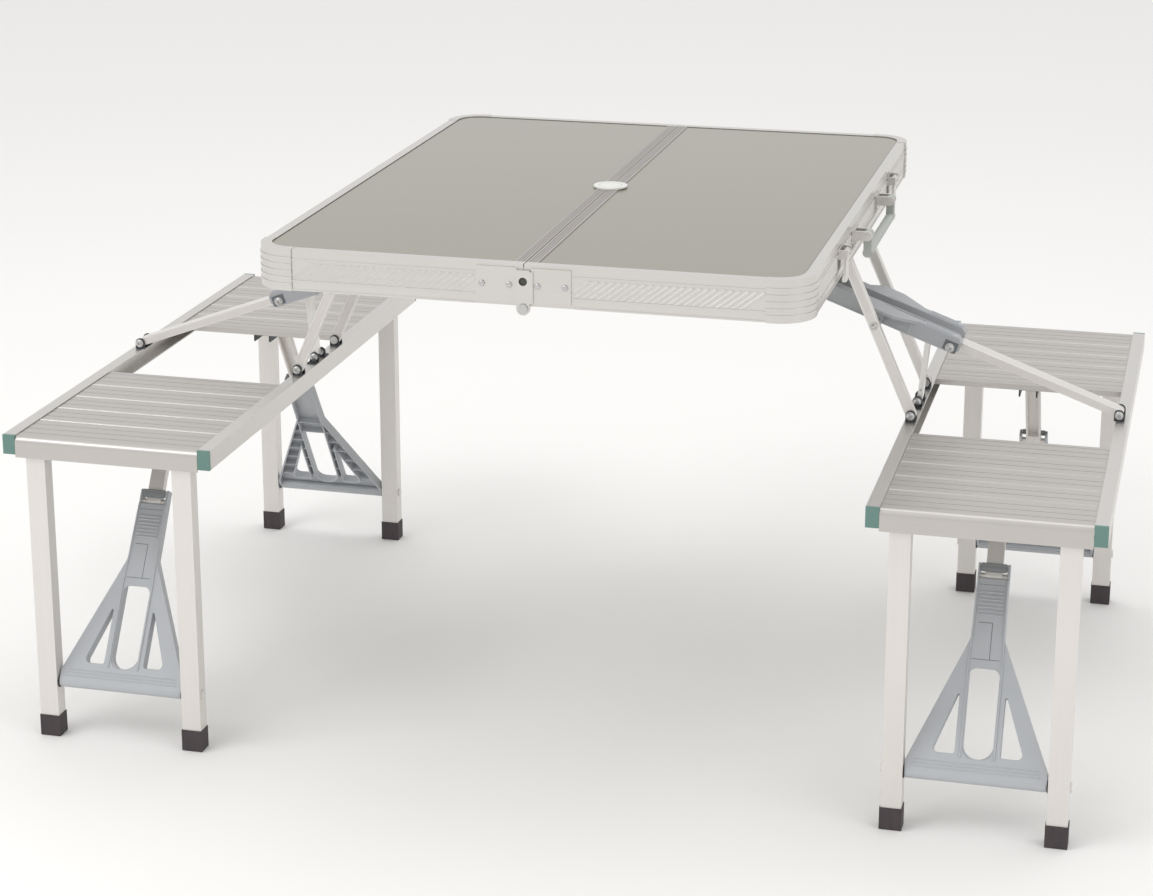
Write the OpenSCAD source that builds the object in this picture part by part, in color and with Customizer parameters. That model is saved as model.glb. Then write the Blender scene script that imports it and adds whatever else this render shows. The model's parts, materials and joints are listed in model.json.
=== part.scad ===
// Folding aluminium picnic table with four attached seats.
// Two half trays are hinged along Y and close into a carrying case.
// Each half carries a seat frame on swinging arms, and each frame has two folding leg pairs.
// Millimetres, +Z up, X across the fold, Y along it, origin on the floor under the middle.

/* [Table] */
// Width of the open table across the fold
table_w = 670; // [640:5:800]
// Depth of the table along the fold
table_d = 850; // [800:5:1000]
// Height of the table top above the floor
table_h = 670; // [640:5:720]
// Height of the rim band
rim_h = 50; // [48:1:60]
// Wall of the rim band
rim_t = 3; // [2:0.5:4]
// Width of the raised lip around the board
lip_w = 12; // [8:1:18]
// Thickness of the table board
board_t = 5; // [3:0.5:6]
// Drop of the board under the lip
board_drop = 1; // [0.5:0.5:2]
// Outer radius of the four case corners
corner_r = 42; // [30:1:60]
// Gap between the halves at the seam
seam_gap = 1; // [0.5:0.5:3]
// Radius of the parasol hole and its plug
plug_r = 18; // [15:0.5:24]
// Width of the plug's brim past the hole
plug_brim = 4; // [2:0.5:6]

/* [Seats] */
// Height of the seats above the floor
seat_h = 405; // [380:5:430]
// Distance between the table's rim and a seat frame
frame_gap = 69; // [55:2:90]
// Width of a seat frame across the fold
frame_w = 276; // [240:2:300]
// How much shorter than the table a seat frame is at each end
frame_inset = 10; // [5:1:20]
// Distance from the middle to the inner edge of a seat
seat_in = 122; // [105:1:150]
// Width of a rail channel
rail_w = 16; // [14:1:20]
// Height of a rail channel
rail_h = 25; // [22:1:28]
// Wall of a rail channel
rail_t = 1.5; // [1.5:0.5:2.5]
// Number of slats in a seat
slat_count = 5; // [4:1:7]
// Thickness of a slat
slat_t = 7.5; // [6:0.5:9]
// Gap between slats
slat_gap = 0.8; // [0.5:0.1:2]
// Depth of the rounded profile at the end of a seat
apron_w = 20; // [16:1:26]
// Height of that profile
apron_h = 27; // [24:1:30]

/* [Legs] */
// Width of a leg tube
leg_w = 25; // [20:1:30]
// Depth of a leg tube
leg_d = 20; // [16:1:20]
// Wall of a leg tube
leg_t = 1.5; // [1:0.5:2.5]
// Gap between a leg and the rail beside it
leg_inset = 12; // [6:1:20]
// Distance of the leg hinge from the end of the frame
leg_setback = 15; // [14:1:30]
// Height of a rubber foot
foot_h = 28; // [20:1:40]
// Height of the stay's hinge above the floor
stay_base_h = 75; // [60:5:100]
// Distance of the stay's upper hinge from the middle
stay_top_y = 205; // [195:5:215]
// Thickness of the plastic stay
stay_t = 14; // [12:1:16]
// Half width of the neck of the stay
neck_w = 17; // [15:1:22]

/* [Linkage] */
// Distance of the arms from the middle
arm_y = 75; // [70:1:95]
// Thickness of an arm
arm_t = 10; // [8:1:12]
// Half depth of an arm
arm_r = 6.5; // [5:0.5:6.5]
// Distance of the arm hinge from the table's rim
arm_inset = 31; // [29:1:38]
// Distance from the lower end of an arm to the yoke's pins
rod_up = 124; // [110:1:140]
// Radius of the hinge bolts
bolt_r = 4; // [3:0.5:4]
// Half width of the folding strut
strut_y = 12; // [10:0.5:14]
// Half depth of the strut
strut_r = 5; // [4.5:0.1:5]
// Half width of the plastic yoke
yoke_y = 34; // [30:1:40]
// Length of the yoke past its pins towards the table
yoke_tail = 88; // [60:1:92]
// How far the strut reaches past the knee
strut_nose = 32; // [26:1:34]

/* [Fits] */
// Gap between pieces that move past each other
gap = 0.3; // [0.2:0.05:0.5]
// Radial clearance of a bolt in its hole
fit = 0.05; // [0.02:0.01:0.1]

/* [Hidden] */
$fn = 48;
rim_z = table_h - rim_h;
fold_z = rim_z - 2.5;
board_z = table_h - board_drop - board_t;
half_w = table_w / 2;
half_d = table_d / 2;
seam = seam_gap / 2;
seam_w = 14;
seam_h = 20;
band_out = 0.8;
rivet_r = 3;

frame_in = half_w + frame_gap;
frame_half = half_d - frame_inset;
frame_out = frame_in + frame_w;
rail_z = seat_h - rail_h;
slat_z = seat_h - rail_t - slat_t;
slat_x = frame_in + rail_w + gap;
slat_len = frame_w - 2 * (rail_w + gap);
tongue = 8;
edge_w = 8;
slat_y = seat_in + edge_w + slat_gap;
slat_zone = frame_half - apron_w - slat_y;
slat_w = slat_zone / slat_count - slat_gap;
seat_mid = frame_in + frame_w / 2;
cap_t = 4;

leg_x = [frame_in + rail_w + leg_inset + leg_w / 2, frame_out - rail_w - leg_inset - leg_w / 2];
leg_y = frame_half - leg_setback;
leg_z = slat_z - 0.5 - leg_d / 2;
axle_r = 3;
foot_w = leg_w + 2;
foot_d = leg_d + 2;

// Stay and its strut: straight when open, folded on each other when the legs are in
stay_fold_y = leg_y - (leg_z - stay_base_h);
stay_reach = norm([leg_y - stay_top_y, leg_z - stay_base_h]);
stay_b = (stay_reach + stay_top_y - stay_fold_y) / 2;
stay_s = (stay_reach - stay_top_y + stay_fold_y) / 2;
stay_a = atan2(leg_z - stay_base_h, leg_y - stay_top_y);
stay_half = (leg_x[1] - leg_x[0]) / 2 - leg_w / 2 - 1 - gap;
stay_end = 15;
strap_w = 10;
strap_t = 5;
slot_w = 20;
slot_lo = 20;
slot_hi = stay_top_y - stay_fold_y + 15;

// Linkage points in the plane of X and Z, for the right side
arm_top = [half_w - arm_inset, board_z - 0.5 - arm_r];
arm_low = [frame_in + rail_w / 2, seat_h + 2 + arm_r];
arm_len = norm(arm_top - arm_low);
arm_dir = (arm_top - arm_low) / arm_len;
rod = arm_low + rod_up * arm_dir;
strut_end = [frame_out - 12, arm_low[1]];
brace_reach = norm(strut_end - rod);
brace_fold = strut_end[0] - arm_low[0] - rod_up;
strut_len = (brace_reach + brace_fold) / 2;
yoke_len = (brace_reach - brace_fold) / 2;
brace_dir = (strut_end - rod) / brace_reach;
brace_a = atan2(brace_dir[1], brace_dir[0]);
knee = rod + yoke_len * brace_dir;
prop_r = 3.2;
prop_pin_r = 2;
prop_pin_v = -1;
prop_top = knee - strut_nose * brace_dir - prop_pin_v * [brace_dir[1], -brace_dir[0]];
prop_y = strut_y - 2 - gap;
stud = [frame_in + rail_w / 2, seat_h + 7];
prop_low = stud + [2, 1.5];
yoke_top = 15;
yoke_deep = arm_r + 0.2;
yoke_web = yoke_deep - strut_r - gap;
yoke_slot = strut_y + 2;
web_end = yoke_len - 62;
ear_t = 2;
mount_r = arm_r + 0.5;
ear_r = 6.5;

handle_y = 100;
handle_z = table_h - 20;
handle_out = 20;
grip_r = 6;
latch_y = 210;
latch_w = 22;

silver = "#d9d6d2";
satin = "#c4c0bd";
laminate = "#b0aca0";
plastic = "#9a9da2";
sage = "#7d9a94";
steel = "#4c4f52";
rubber = "#3d3638";

// ---- placing ----

// Draws the right-hand form on side s: 1 is right, -1 is left
module on_side(s) {
  mirror([s < 0 ? 1 : 0, 0, 0]) children();
}

// Draws the front form at end e: -1 is front, 1 is back
module at_end(e) {
  mirror([0, e > 0 ? 1 : 0, 0]) children();
}

// Both ends at once
module both_ends() {
  for (e = [-1, 1])
    at_end(e) children();
}

// Turns an outline drawn in X and Z into a plate from y0 to y1
module plate_y(y0, y1) {
  translate([0, y1, 0]) rotate([90, 0, 0]) linear_extrude(y1 - y0) children();
}

// Turns an outline drawn in Y and Z into a plate from x0 to x1
module plate_x(x0, x1) {
  translate([x0, 0, 0]) rotate([90, 0, 90]) linear_extrude(x1 - x0) children();
}

// Round-ended bar outline from p to q
module capsule(p, q, r) {
  d = q - p;
  translate(p) circle(r);
  translate(q) circle(r);
  translate(p) rotate(atan2(d[1], d[0])) translate([0, -r]) square([norm(d), 2 * r]);
}

// Pin along Y from y0 to y1 at the point p of X and Z
module pin_y(p, r, y0, y1) {
  translate([p[0], y1, p[1]]) rotate([90, 0, 0]) cylinder(r = r, h = y1 - y0);
}

// Pin along X from x0 to x1 at the point p of Y and Z
module pin_x(p, r, x0, x1) {
  translate([x0, p[0], p[1]]) rotate([0, 90, 0]) cylinder(r = r, h = x1 - x0);
}

// Box from its low to its high corner
module box(lo, hi) {
  translate(lo) cube(hi - lo);
}

// ---- table halves ----

// Outline of half a case, square at the seam, pulled in by d
module half_outline(d, x0) {
  r = corner_r - d;
  intersection() {
    translate([x0, -half_d - 9]) square([half_w - x0 + 9, table_d + 18]);
    union() {
      translate([x0 - 1, -half_d + d]) square([half_w - corner_r - x0 + 1, table_d - 2 * d]);
      translate([0, -half_d + corner_r]) square([half_w - d, table_d - 2 * corner_r]);
      for (e = [-1, 1])
        translate([half_w - corner_r, e * (half_d - corner_r)]) circle(r);
    }
  }
}

// Band between two pulled-in outlines
module band(z, h, d_out, d_in) {
  translate([0, 0, z]) linear_extrude(h) difference() {
    half_outline(d_out, seam);
    half_outline(d_in, seam - 1);
  }
}

// Cross section of the whole rim: wall, lip and raised beads
module full_rim() {
  band(rim_z, rim_h, 0, rim_t);
  band(table_h - 3, 3, 0, lip_w);
  band(rim_z, 2, -band_out, 1);
  band(rim_z + 11, 2, -band_out, 1);
  band(table_h - 13, 2, -band_out, 1);
}

// Space taken by the two corner pieces
module corner_space(grow) {
  for (e = [-1, 1])
    translate([half_w - corner_r - 8 - grow, e > 0 ? half_d - corner_r - 8 - grow : -half_d - 9, 0])
      cube([corner_r + 17 + grow, corner_r + 17 + grow, table_h + 1]);
}

module rim(s) {
  color(silver) on_side(s) difference() {
    full_rim();
    corner_space(0);
    hinge_recess();
  }
}

module corners(s) {
  color(silver) on_side(s) intersection() {
    union() {
      band(rim_z - 0.5, rim_h + 1, -1.5, rim_t);
      band(table_h - 3, 3.5, -1.5, lip_w);
      for (i = [0:4])
        band(rim_z + 6 + 8 * i, 3, -2.5, 1);
    }
    corner_space(-0.2);
  }
}

// Flat on the rim where a hinge plate lies
module hinge_recess() {
  for (e = [-1, 1])
    translate([-1, e > 0 ? half_d : -half_d - 2, rim_z - 1]) cube([61, 2, rim_h - 1]);
}

module seam_profile(s) {
  color(silver) on_side(s) difference() {
    union() {
      box([seam, -half_d + lip_w, table_h - seam_h], [seam + 2, half_d - lip_w, table_h]);
      box([seam, -half_d + lip_w, table_h - 1], [seam + seam_w, half_d - lip_w, table_h]);
    }
    for (i = [1:3])
      box([seam + 3.2 * i, -half_d, table_h - 0.5], [seam + 3.2 * i + 0.8, half_d, table_h + 1]);
    translate([0, 0, table_h - seam_h - 1]) cylinder(r = plug_r + gap, h = seam_h + 2);
  }
}

module board(s) {
  color(laminate) on_side(s) difference() {
    translate([0, 0, board_z]) linear_extrude(board_t) half_outline(rim_t, seam + 2);
    translate([0, 0, board_z - 1]) cylinder(r = plug_r + gap, h = board_t + 2);
    translate([0, 0, board_z + board_t - gap]) cylinder(r = plug_r + plug_brim + gap, h = 2);
    translate([0, 0, table_h - 3]) linear_extrude(5) difference() {
      half_outline(-5, 0);
      half_outline(lip_w, -1);
    }
    box([0, -half_d, table_h - 1.01], [seam + seam_w, half_d, table_h + 1]);
  }
}

// Hinge plates on the front and back of a half, with the ears that take the hinge pin.
// The left ears lie against the rim and the right ears in front of them.
module hinge_plates(s) {
  ear = s < 0 ? 0 : 2 + gap;
  color(silver) both_ends() on_side(s) difference() {
    union() {
      box([9, -half_d - 2, rim_z + 4], [57, -half_d, table_h - 4]);
      plate_y(-half_d - 2 - ear, -half_d - ear) union() {
        translate([0, fold_z]) circle(8);
        translate([-8, fold_z]) square([16, rim_h - 4]);
      }
      if (s > 0) {
        box([0, -half_d - 2 - ear, rim_z + 4], [12, -half_d - ear, table_h - 8]);
        box([8 + gap, -half_d - 2 - ear, rim_z + 4], [12, -half_d, table_h - 8]);
      }
      if (s < 0)
        box([7.9, -half_d - 2, rim_z + 4], [9.1, -half_d, table_h - 4]);
      for (x = [17, 50])
        pin_y([x, rim_z + rim_h / 2], rivet_r, -half_d - 3.2, -half_d - 1);
    }
    pin_y([0, fold_z], bolt_r + fit, -half_d - 9, -half_d + 1);
    pin_y([0, rim_z + 30], 5, -half_d - 9, -half_d + 1);
  }
}

module hinge_pins() {
  color(steel) both_ends() {
    pin_y([0, fold_z], bolt_r, -half_d - 5, -half_d);
    pin_y([0, fold_z], 6, -half_d - 6.5, -half_d - 4 - 2 * gap);
  }
}

// Steel ears under the board that hold the upper ends of the arms, and their bolts
module arm_mounts(s) {
  color(steel) on_side(s) both_ends() translate([0, -arm_y, 0]) {
    for (m = [0, 1])
      mirror([0, m, 0]) difference() {
        union() {
          plate_y(arm_t / 2 + gap, arm_t / 2 + gap + ear_t) union() {
            translate(arm_top) circle(mount_r);
            translate([arm_top[0] - mount_r, arm_top[1]]) square([2 * mount_r, board_z - arm_top[1]]);
          }
          box([arm_top[0] - mount_r, arm_t / 2 + gap, board_z - 1.5],
              [arm_top[0] + mount_r, arm_t / 2 + 18, board_z]);
        }
        pin_y(arm_top, bolt_r + fit, -30, 30);
      }
    pin_y(arm_top, bolt_r, -arm_t / 2 - ear_t - 1, arm_t / 2 + ear_t + 1);
    for (m = [0, 1])
      mirror([0, m, 0]) pin_y(arm_top, 6, arm_t / 2 + ear_t + gap + 0.2, arm_t / 2 + ear_t + 3);
  }
}

// ---- handle, latches and plug ----

// The grip hangs from two stubs on the right-hand side of the case
module handle_grip() {
  color(sage) {
    both_ends() difference() {
      plate_y(-handle_y - 6, -handle_y + 6) union() {
        translate([half_w + handle_out - 6, handle_z - 26]) square([10, 28]);
        translate([half_w + handle_out - 1, handle_z]) circle(6);
      }
      pin_y([half_w + handle_out - 1, handle_z], 3 + fit, -handle_y - 20, -handle_y + 20);
    }
    pin_y([half_w + handle_out - 1, handle_z - 22], grip_r, -handle_y - 6, handle_y + 6);
  }
}

module handle_latch_mounts() {
  color(steel) both_ends() {
    box([half_w + band_out, -handle_y - 18, handle_z - 8], [half_w + 4, -handle_y + 18, handle_z + 8]);
    for (m = [-1, 1])
      difference() {
        plate_y(-handle_y + m * 8.5 - 2, -handle_y + m * 8.5 + 2) union() {
          translate([half_w + 2, handle_z - 6]) square([handle_out - 3, 12]);
          translate([half_w + handle_out - 1, handle_z]) circle(6);
        }
        pin_y([half_w + handle_out - 1, handle_z], 3 + fit, -handle_y - 20, -handle_y + 20);
      }
    pin_y([half_w + handle_out - 1, handle_z], 3, -handle_y - 12, -handle_y + 12);
    translate([0, -latch_y, 0]) {
      for (m = [-1, 1])
        box([half_w + band_out, m * 14 - 1.5, table_h - 22], [half_w + 12, m * 14 + 1.5, table_h - 11]);
      box([half_w + band_out, -15.5, table_h - 23], [half_w + 2, 15.5, table_h - 10]);
      pin_y([half_w + 8, table_h - 16], 1.5, -12.5, 12.5);
    }
  }
}

// Levers of the draw latches, which hook over the keepers of the left half
module latch_levers() {
  color(silver) both_ends() translate([0, -latch_y, 0]) difference() {
    union() {
      box([half_w + 7, -latch_w / 2, rim_z + 4], [half_w + 10, latch_w / 2, table_h - 16]);
      pin_y([half_w + 8, table_h - 16], 4, -latch_w / 2, latch_w / 2);
      box([half_w + 5, -latch_w / 2 + 4, rim_z - 2], [half_w + 10, latch_w / 2 - 4, rim_z + 5]);
    }
    pin_y([half_w + 8, table_h - 16], 1.5 + fit, -latch_w, latch_w);
  }
}

module latch_keepers() {
  color(steel) on_side(-1) both_ends() translate([0, -latch_y, 0]) {
    box([half_w + band_out, -15, rim_z + 8], [half_w + 3, 15, table_h - 14]);
    box([half_w + 2.9, -9, rim_z + 16], [half_w + 7, 9, rim_z + 20]);
    box([half_w + 6, -9, rim_z + 16], [half_w + 8, 9, rim_z + 26]);
  }
}

module umbrella_plug() {
  color("#d8d8d4") difference() {
    union() {
      translate([0, 0, table_h]) cylinder(r = plug_r + plug_brim, h = 2);
      translate([0, 0, table_h - 14]) cylinder(r = plug_r, h = 15);
    }
    translate([0, 0, table_h - 15]) cylinder(r = plug_r - 2, h = 13);
    translate([0, 0, table_h + 1.2]) rotate_extrude() translate([plug_r - 4, 0]) square([1, 2]);
  }
}

// ---- seat frames ----

// Channel along the frame, open towards the seat
module rail_section() {
  difference() {
    square([rail_w, rail_h]);
    translate([rail_t, rail_t]) square([rail_w, rail_h - 2 * rail_t]);
  }
}

module rails(s) {
  color(silver) on_side(s)
    for (m = [0, 1])
      translate([seat_mid, 0, 0]) mirror([m, 0, 0])
        translate([-frame_w / 2, 0, rail_z]) plate_y(-frame_half + cap_t, frame_half - cap_t)
          rail_section();
}

// A slat is a ribbed board with tongues that lie in the rails, just below their lips
module slat_section() {
  pocket = (slat_w - 8) / 3;
  difference() {
    square([slat_w, slat_t]);
    for (i = [0:2])
      translate([2 + i * (pocket + 2), -1]) square([pocket, slat_t - 0.6]);
    for (i = [1:2])
      translate([i * slat_w / 3 - 0.5, slat_t - 0.5]) square([1, 1]);
  }
}

module slats(s) {
  color(satin) on_side(s) both_ends()
    for (i = [0:slat_count - 1])
      translate([0, -slat_y - (i + 1) * (slat_w + slat_gap) + slat_gap, slat_z]) difference() {
        plate_x(slat_x - tongue, slat_x + slat_len + tongue) slat_section();
        box([slat_x - tongue - 1, -1, slat_t - gap], [slat_x + gap, slat_w + 1, slat_t + 1]);
        box([slat_x + slat_len - gap, -1, slat_t - gap],
            [slat_x + slat_len + tongue + 1, slat_w + 1, slat_t + 1]);
      }
}

// Rounded apron at the outer end of a seat and the flat strip at its inner edge
module seat_edges(s) {
  r = 8;
  top = slat_z + slat_t;
  color(silver) on_side(s) both_ends() {
    plate_x(slat_x, slat_x + slat_len) difference() {
      union() {
        translate([-frame_half + r, top - r]) circle(r);
        translate([-frame_half + r, slat_z]) square([apron_w - r, slat_t]);
        translate([-frame_half, top - apron_h]) square([2, apron_h - r]);
      }
      translate([-frame_half + 2, top - apron_h - 1]) square([apron_w, apron_h - slat_t + 1]);
      translate([-frame_half + r, top - r]) circle(r - 2);
    }
    translate([0, -seat_in - edge_w, 0]) difference() {
      box([slat_x - tongue, 0, slat_z], [slat_x + slat_len + tongue, edge_w, slat_z + slat_t]);
      box([slat_x - tongue - 1, 1.5, slat_z - 1], [slat_x + slat_len + tongue + 1, edge_w - 1.5, slat_z + slat_t - 1.5]);
    }
  }
}

// Plastic caps on the rail ends
module end_caps(s) {
  color(sage) on_side(s) both_ends()
    for (m = [0, 1])
      translate([seat_mid, 0, 0]) mirror([m, 0, 0]) translate([-frame_w / 2, -frame_half, rail_z]) {
        cube([rail_w, cap_t, rail_h]);
        translate([rail_t + gap, cap_t - 1, rail_t + gap])
          cube([rail_w - rail_t - 2 - gap, 8, rail_h - 2 * (rail_t + gap)]);
      }
}

// Pair of ears standing on a base plate, drawn around y = 0 with inner faces at w
module ears(p, w, r, z0) {
  difference() {
    union() {
      for (m = [0, 1])
        mirror([0, m, 0]) plate_y(w, w + ear_t) union() {
          translate(p) circle(r);
          translate([p[0] - r, z0]) square([2 * r, p[1] - z0]);
        }
      box([p[0] - r, -w - ear_t, z0], [p[0] + r, w + ear_t, z0 + 1.2]);
    }
    pin_y(p, bolt_r + fit, -50, 50);
  }
}

// Steel brackets: arm brackets, prop bracket, strut bracket and the leg stay brackets
module brackets(s) {
  color(steel) on_side(s) {
    for (e = [-1, 1])
      translate([0, e * arm_y, 0]) ears(arm_low, arm_t / 2 + gap, ear_r, seat_h);
    difference() {
      for (m = [0, 1])
        mirror([0, m, 0]) {
          plate_y(strut_y + gap, strut_y + gap + ear_t) union() {
            translate(stud) circle(ear_r);
            translate([stud[0] - ear_r, seat_h]) square([2 * ear_r, stud[1] - seat_h]);
          }
          box([stud[0] - ear_r, strut_y + gap, seat_h], [stud[0] + ear_r, strut_y + 14, seat_h + 1.5]);
        }
      pin_y(stud, bolt_r + fit, -50, 50);
    }
    ears(strut_end, strut_y + gap, ear_r, seat_h);
    both_ends() translate([seat_mid, 0, 0]) difference() {
      union() {
        for (m = [0, 1])
          mirror([m, 0, 0]) plate_x(strap_w + gap, strap_w + gap + ear_t) union() {
            translate([-stay_top_y, leg_z]) circle(8);
            translate([-stay_top_y - 8, leg_z]) square([stay_top_y + 4 - seat_in, slat_z - leg_z]);
          }
        box([-strap_w - gap - ear_t, -stay_top_y - 8, slat_z - 1.5],
            [strap_w + gap + ear_t, -seat_in - 4, slat_z]);
      }
      pin_x([-stay_top_y, leg_z], bolt_r + fit, -30, 30);
    }
  }
}

// Bolts of those brackets; the prop bracket has two short studs with a free middle
module bracket_bolts(s) {
  y1 = arm_t / 2 + gap + ear_t;
  y2 = strut_y + gap + ear_t;
  x1 = strap_w + gap + ear_t;
  color(silver) on_side(s) {
    for (e = [-1, 1])
      translate([0, e * arm_y, 0]) {
        pin_y(arm_low, bolt_r, -y1, y1);
        for (m = [0, 1])
          mirror([0, m, 0]) pin_y(arm_low, 5.5, y1, y1 + 2);
      }
    pin_y(strut_end, bolt_r, -y2, y2);
    for (m = [0, 1])
      mirror([0, m, 0]) {
        pin_y(strut_end, 5.5, y2, y2 + 2);
        pin_y(stud, bolt_r, strut_y + gap, y2);
        pin_y(stud, 5.5, y2, y2 + 2);
      }
    both_ends() translate([seat_mid, 0, 0]) {
      pin_x([-stay_top_y, leg_z], bolt_r, -x1, x1);
      for (m = [0, 1])
        mirror([m, 0, 0]) pin_x([-stay_top_y, leg_z], 5.5, x1, x1 + 1.5);
    }
  }
}

// Steel rods between the rails on which the legs turn
module leg_axles(s) {
  color(silver) on_side(s) both_ends()
    pin_x([-leg_y, leg_z], axle_r, frame_in + rail_t, frame_out - rail_t);
}

// ---- arms, yoke, strut and prop ----

// Puts a child drawn with X along the arm at the arm's lower hinge
module on_arm() {
  translate([arm_low[0], 0, arm_low[1]]) rotate([0, -atan2(arm_dir[1], arm_dir[0]), 0]) children();
}

module arms(s) {
  color(silver) on_side(s) on_arm()
    for (e = [-1, 1])
      translate([0, e * arm_y, 0]) difference() {
        plate_y(-arm_t / 2, arm_t / 2) capsule([0, 0], [arm_len, 0], arm_r);
        for (u = [0, rod_up, arm_len])
          pin_y([u, 0], bolt_r + fit, -arm_t, arm_t);
        for (m = [0, 1])
          mirror([0, m, 0]) box([rod_up + 20, arm_t / 2 - 0.6, -1.2], [arm_len - 20, arm_t, 1.2]);
      }
}

// Riveted pins from the arms into the yoke, which leave the middle free for the strut
module yoke_pins(s) {
  color(silver) on_side(s)
    for (m = [0, 1])
      mirror([0, m, 0]) {
        pin_y(rod, bolt_r, yoke_slot, arm_y + arm_t / 2);
        pin_y(rod, 5, arm_y + arm_t / 2, arm_y + arm_t / 2 + 1.5);
      }
}

// Puts a child drawn with X along the brace and Z square to it at the yoke's pins
module on_brace() {
  translate([rod[0], 0, rod[1]]) rotate([0, -brace_a, 0]) children();
}

// Plastic yoke: two side beams with wings, joined by a floor at the table end
module yoke(s) {
  color(plastic) on_side(s) on_brace() difference() {
    union() {
      for (m = [0, 1])
        mirror([0, m, 0]) {
          plate_y(yoke_slot, yoke_y) polygon([
            [-yoke_tail, -yoke_deep], [yoke_len + 6, -yoke_deep], [yoke_len + 12, 0],
            [yoke_len + 12, yoke_top - 5], [yoke_len + 6, yoke_top], [-yoke_tail, yoke_top]
          ]);
          translate([0, 0, yoke_top - 4]) linear_extrude(4) polygon([
            [-30, yoke_y - 2], [-12, yoke_y + 22], [16, yoke_y + 22], [52, yoke_y - 2]
          ]);
          plate_y(yoke_y - 2, yoke_y + 18) polygon([
            [-6, -5], [6, -5], [6, yoke_top - 1], [-6, yoke_top - 1]
          ]);
        }
      box([-yoke_tail, -yoke_slot - 1, -yoke_deep], [web_end, yoke_slot + 1, -yoke_deep + yoke_web]);
    }
    pin_y([0, 0], bolt_r + fit, -80, 80);
    pin_y([yoke_len, 0], bolt_r + fit, -80, 80);
    for (m = [0, 1])
      mirror([0, m, 0]) {
        box([0, yoke_slot + 5, yoke_top - 2], [yoke_len + 2, yoke_slot + 6.5, yoke_top + 1]);
        box([-yoke_tail + 4, yoke_slot + 4, -yoke_deep - 1], [-14, yoke_y - 3, yoke_top - 5]);
        box([14, yoke_slot + 4, -yoke_deep - 1], [yoke_len - 14, yoke_y - 3, yoke_top - 5]);
      }
  }
}

// Knee bolts: one in each side of the yoke, short of the strut between them
module knee_bolts(s) {
  color(silver) on_side(s) on_brace()
    for (m = [0, 1])
      mirror([0, m, 0]) {
        pin_y([yoke_len, 0], bolt_r, strut_y + gap, yoke_y);
        pin_y([yoke_len, 0], 6, yoke_y, yoke_y + 2);
      }
}

// Aluminium channel from the outer rail to the knee, open underneath for the prop
module strut(s) {
  nose = yoke_len - strut_nose;
  tip = yoke_len + strut_len;
  color(silver) on_side(s) on_brace() difference() {
    plate_y(-strut_y, strut_y) capsule([nose, 0], [tip, 0], strut_r);
    box([nose - strut_r - 1, -strut_y + 2, -strut_r - 1], [tip - 14, strut_y - 2, strut_r - 1.5]);
    pin_y([nose, prop_pin_v], prop_pin_r + fit, -strut_y - 1, strut_y + 1);
    pin_y([tip, 0], bolt_r + fit, -strut_y - 1, strut_y + 1);
  }
}

// Prop under the knee, hung on its own pin inside the strut
module prop(s) {
  foot = prop_low - prop_top;
  color(satin) on_side(s) {
    difference() {
      plate_y(-prop_y, prop_y) capsule(prop_top, prop_low, prop_r);
      pin_y(prop_top, prop_pin_r + fit, -prop_y - 1, prop_y + 1);
      pin_y(prop_top + 0.86 * foot, 1, -prop_y - 1, prop_y + 1);
    }
    pin_y(prop_top, prop_pin_r, -strut_y, strut_y);
  }
}

// ---- leg pairs ----

module legs(s, e) {
  color(silver) on_side(s) at_end(e)
    for (x = leg_x) {
      out = x < seat_mid ? -1 : 1;
      difference() {
        union() {
          pin_x([-leg_y, leg_z], leg_d / 2, x - leg_w / 2, x + leg_w / 2);
          box([x - leg_w / 2, -leg_y - leg_d / 2, foot_h], [x + leg_w / 2, -leg_y + leg_d / 2, leg_z]);
        }
        box([x - leg_w / 2 + leg_t, -leg_y - leg_d / 2 + leg_t, foot_h - 1],
            [x + leg_w / 2 - leg_t, -leg_y + leg_d / 2 - leg_t, leg_z - leg_d / 2]);
        pin_x([-leg_y, leg_z], axle_r + fit, x - leg_w, x + leg_w);
        pin_x([-leg_y, stay_base_h], bolt_r + fit, x - leg_w, x + leg_w);
      }
      pin_x([-leg_y, stay_base_h], bolt_r, x - leg_w / 2 + min(0, out), x + leg_w / 2 + max(0, out));
      pin_x([-leg_y, stay_base_h], 6, x + out * (leg_w / 2 + fit + 1) - 1, x + out * (leg_w / 2 + fit + 1) + 1);
    }
}

module feet(s, e) {
  color(rubber) on_side(s) at_end(e)
    for (x = leg_x) {
      box([x - foot_w / 2, -leg_y - foot_d / 2, 0], [x + foot_w / 2, -leg_y + foot_d / 2, foot_h]);
      box([x - leg_w / 2 + leg_t + gap, -leg_y - leg_d / 2 + leg_t + gap, foot_h - 1],
          [x + leg_w / 2 - leg_t - gap, -leg_y + leg_d / 2 - leg_t - gap, foot_h + 12]);
    }
}

// Puts a child drawn with X across, Y up the stay and Z outwards at the base of the stay
module on_stay() {
  translate([seat_mid, -leg_y, stay_base_h]) rotate([stay_a, 0, 0]) children();
}

// Outline of the plastic stay: wide foot, two tapering limbs and a narrow neck
module stay_outline(d) {
  w = stay_half - d;
  n = neck_w - d;
  polygon([
    [-w, -9 + d], [w, -9 + d], [w, 10], [n + 2, 0.7 * stay_b], [n, stay_b + stay_end - d],
    [-n, stay_b + stay_end - d], [-n - 2, 0.7 * stay_b], [-w, 10]
  ]);
}

// The windows of the stay: a middle slot and a triangle on each side
module stay_windows() {
  translate([0, slot_lo + slot_w]) circle(slot_w);
  translate([-slot_w, slot_lo + slot_w]) square([2 * slot_w, slot_hi - slot_lo - slot_w]);
  for (m = [0, 1])
    mirror([m, 0]) polygon([[slot_w + 7, 14], [stay_half - 14, 14], [slot_w + 7, 0.42 * stay_b]]);
}

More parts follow.
